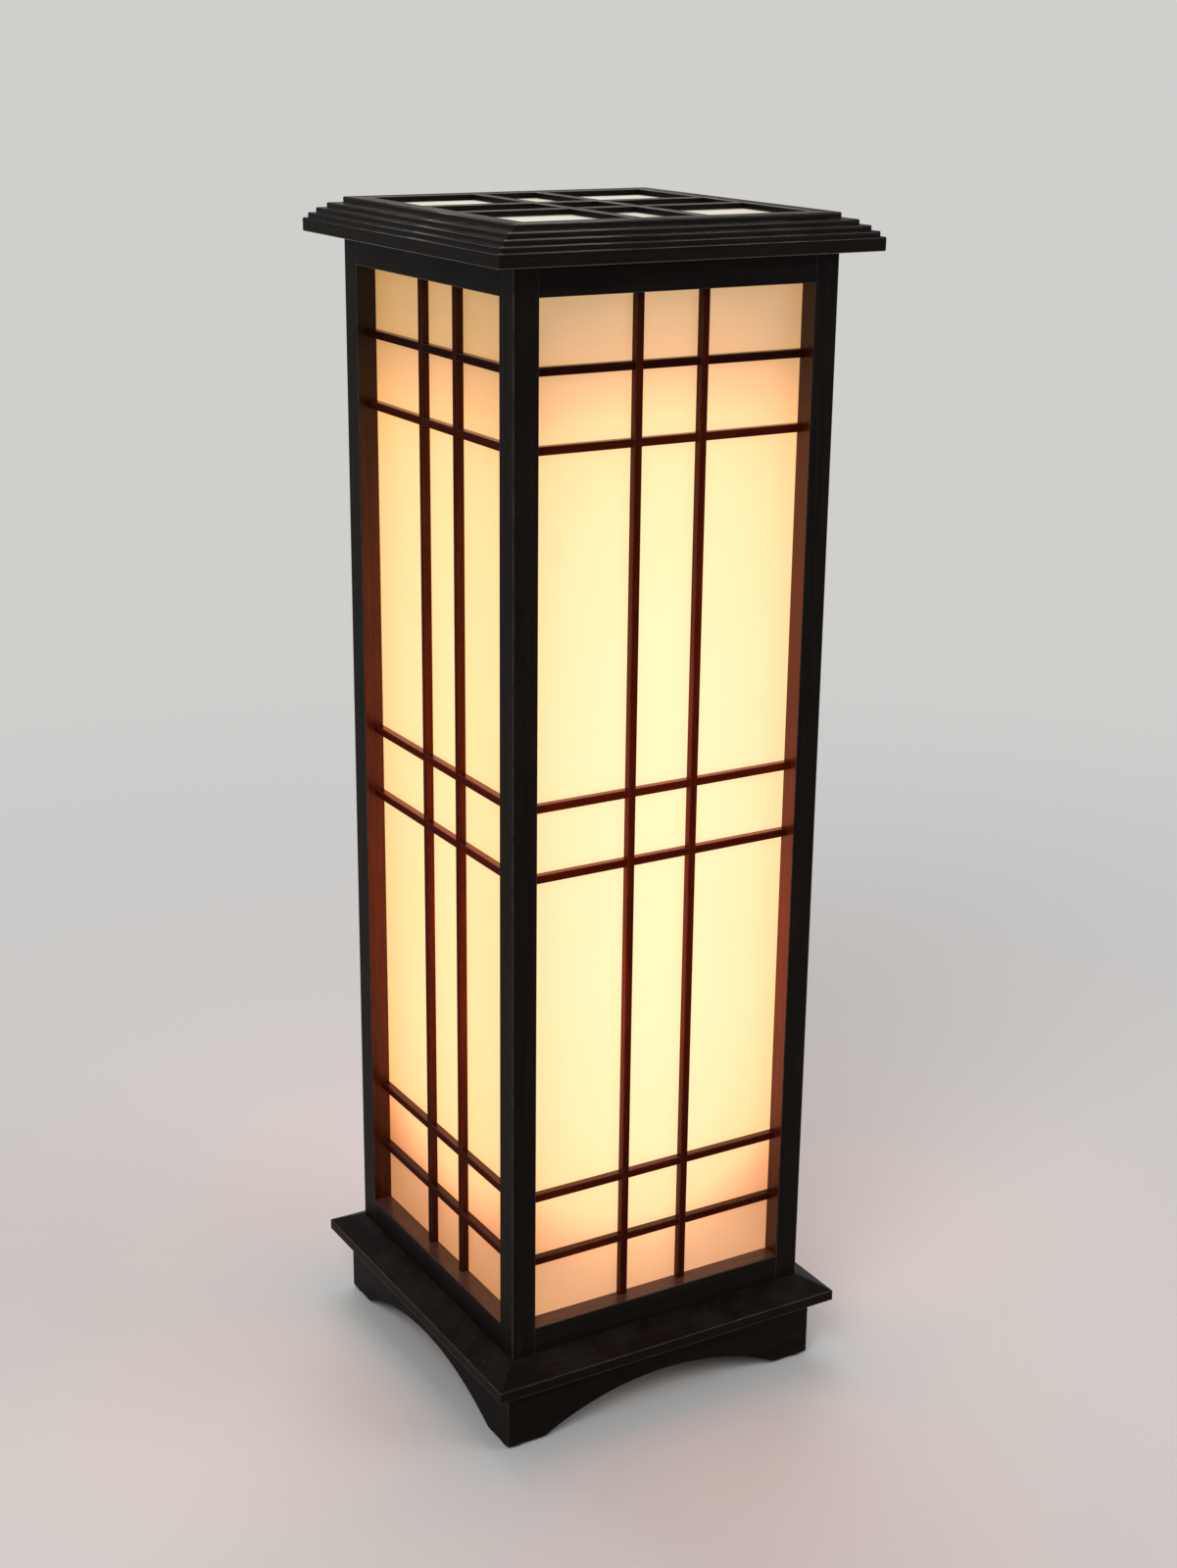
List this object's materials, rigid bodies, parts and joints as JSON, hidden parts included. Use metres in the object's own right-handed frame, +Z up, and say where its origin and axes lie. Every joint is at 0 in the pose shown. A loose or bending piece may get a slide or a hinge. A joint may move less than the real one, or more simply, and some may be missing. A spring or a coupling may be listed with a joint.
{
  "type": "lattice lantern table lamp",
  "caption": "Tall square lantern table lamp: dark wood lattice over lit opal panels, stepped lift-off roof, flared plinth on an arched skirt, LED core inside.",
  "frame": {"origin": "on the table top under the middle of the lamp", "axes": "+Z up, -Y out of the front face, +X to the right seen from the front; the power inlet is at +Y"},
  "size_m": [0.202, 0.202, 0.6],
  "materials": {
    "lacquered_wood": "satin near-black stain",
    "inner_wood": "plain dark stain",
    "side_panel": "opal, lit from behind",
    "roof_panel": "opal white",
    "core_metal": "mill finish",
    "core_plastic": "moulded white",
    "led_strip": "white flexible strip",
    "led": "warm white emitter",
    "zinc_steel": "zinc plated",
    "jack_plastic": "moulded black",
    "lead_sheath": "black sheath",
    "felt": "pressed felt"
  },
  "bodies": {
    "base": {"board_screws": "zinc_steel", "bottom_rail_back": "lacquered_wood", "bottom_rail_front": "lacquered_wood", "bottom_rail_left": "lacquered_wood", "bottom_rail_right": "lacquered_wood", "core_cap": "core_plastic", "core_foot": "core_plastic", "core_tube": "core_metal", "corner_blocks": "inner_wood", "crossbars_back": "lacquered_wood", "crossbars_front": "lacquered_wood", "crossbars_left": "lacquered_wood", "crossbars_right": "lacquered_wood", "floor_board": "inner_wood", "foot_pads": "felt", "foot_screws": "zinc_steel", "jack_nut": "zinc_steel", "led_chips": "led", "led_strip_back": "led_strip", "led_strip_front": "led_strip", "led_strip_left": "led_strip", "led_strip_right": "led_strip", "panel_back": "side_panel", "panel_front": "side_panel", "panel_left": "side_panel", "panel_right": "side_panel", "plinth_back": "lacquered_wood", "plinth_front": "lacquered_wood", "plinth_left": "lacquered_wood", "plinth_right": "lacquered_wood", "post_back_left": "lacquered_wood", "post_back_right": "lacquered_wood", "post_front_left": "lacquered_wood", "post_front_right": "lacquered_wood", "power_jack": "jack_plastic", "skirt_back": "lacquered_wood", "skirt_front": "lacquered_wood", "skirt_left": "lacquered_wood", "skirt_right": "lacquered_wood", "supply_lead": "lead_sheath", "top_rail_back": "lacquered_wood", "top_rail_front": "lacquered_wood", "top_rail_left": "lacquered_wood", "top_rail_right": "lacquered_wood", "uprights_back": "lacquered_wood", "uprights_front": "lacquered_wood", "uprights_left": "lacquered_wood", "uprights_right": "lacquered_wood"},
    "roof": {"roof_bars_front_to_back": "lacquered_wood", "roof_bars_side_to_side": "lacquered_wood", "roof_cleats": "inner_wood", "roof_moulding_back": "lacquered_wood", "roof_moulding_front": "lacquered_wood", "roof_moulding_left": "lacquered_wood", "roof_moulding_right": "lacquered_wood", "roof_panel": "roof_panel"}
  },
  "joints": [
    {"name": "roof_lift", "type": "slide", "parent": "base", "child": "roof", "axis": [0, 0, 1], "range_m": [0, 0.12]}
  ]
}
